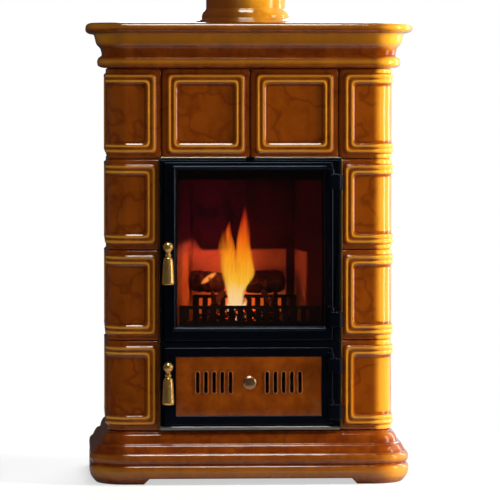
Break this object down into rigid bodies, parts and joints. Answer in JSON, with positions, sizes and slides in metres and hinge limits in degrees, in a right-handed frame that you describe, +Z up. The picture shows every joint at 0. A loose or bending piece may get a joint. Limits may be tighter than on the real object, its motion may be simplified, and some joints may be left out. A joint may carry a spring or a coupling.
{
  "type": "tiled stove",
  "caption": "Square-plan tiled stove with a moulded plinth and cornice, a glazed iron fire door, an ash door with an air register, and a flue collar on top.",
  "frame": {"origin": "on the floor, under the middle of the stove's plan", "axes": "+X to the right seen from the front, -Y out of the fire door, +Z up the flue"},
  "size_m": [0.76, 0.555, 1.242],
  "materials": {
    "glaze": "honey-brown transparent glaze, high gloss",
    "black_iron": "black enamel, satin to gloss",
    "painted_steel": "matt heat-proof black",
    "plain_steel": "plain sheet steel",
    "edge_brass": "dull brassy edge strip",
    "handle_brass": "polished brass",
    "firebrick": "pale refractory, matt",
    "rope": "braided glass-fibre rope",
    "door_glass": "clear heat-proof glass ceramic"
  },
  "bodies": {
    "stove": {"front_left_corner_tiles": "glaze", "front_right_corner_tiles": "glaze", "rear_left_corner_tiles": "glaze", "rear_right_corner_tiles": "glaze", "side_tiles_left": "glaze", "side_tiles_right": "glaze", "front_tile_left": "glaze", "front_tile_right": "glaze", "cornice_corners": "glaze", "cornice_front": "glaze", "cornice_rear": "glaze", "cornice_side_left": "glaze", "cornice_side_right": "glaze", "plinth_corners": "glaze", "plinth_front": "glaze", "plinth_rear": "glaze", "plinth_side_left": "glaze", "plinth_side_right": "glaze", "top_slab": "glaze", "flue_collar": "glaze", "front_frame": "black_iron", "fire_hinge_rod": "black_iron", "ash_hinge_rod": "black_iron", "latch_keepers": "black_iron", "grate": "black_iron", "front_fence": "black_iron", "rear_fence": "black_iron", "bed_plate": "black_iron", "inner_body": "painted_steel", "rear_cover": "painted_steel", "flue_spigot": "painted_steel", "base_tray": "plain_steel", "tile_frame": "plain_steel", "rear_cover_screws": "plain_steel", "frame_fasteners": "plain_steel", "levelling_feet": "plain_steel", "ash_box": "plain_steel", "ash_box_runners": "plain_steel", "sill_strip": "plain_steel", "frame_edge_trim": "edge_brass", "left_firebricks": "firebrick", "right_firebricks": "firebrick", "rear_firebricks": "firebrick", "baffle_plate": "firebrick"},
    "fire_door": {"fire_door_frame": "black_iron", "fire_door_glass": "door_glass", "fire_glass_seal": "rope", "fire_glass_strips": "painted_steel", "fire_door_seal": "rope"},
    "fire_door_handle": {"fire_handle": "handle_brass", "fire_latch": "plain_steel"},
    "ash_door": {"ash_door_frame": "black_iron", "ash_tile": "glaze", "ash_slide_guides": "painted_steel", "ash_door_seal": "rope"},
    "ash_door_handle": {"ash_handle": "handle_brass", "ash_latch": "plain_steel"},
    "air_register": {"air_slide": "painted_steel", "air_knob": "handle_brass"}
  },
  "joints": [
    {"name": "fire_door_hinge", "type": "hinge", "parent": "stove", "child": "fire_door", "pos_m": [0.187, -0.25, 0.55], "axis": [0, 0, 1], "range_deg": [0, 110]},
    {"name": "fire_handle_turn", "type": "hinge", "parent": "fire_door", "child": "fire_door_handle", "pos_m": [-0.191, -0.25, 0.55], "axis": [0, 1, 0], "range_deg": [0, 80]},
    {"name": "ash_door_hinge", "type": "hinge", "parent": "stove", "child": "ash_door", "pos_m": [0.187, -0.25, 0.226], "axis": [0, 0, 1], "range_deg": [0, 110]},
    {"name": "ash_handle_turn", "type": "hinge", "parent": "ash_door", "child": "ash_door_handle", "pos_m": [-0.191, -0.25, 0.272], "axis": [0, 1, 0], "range_deg": [0, 80]},
    {"name": "air_register_slide", "type": "slide", "parent": "ash_door", "child": "air_register", "axis": [1, 0, 0], "range_m": [0, 0.0095]}
  ]
}
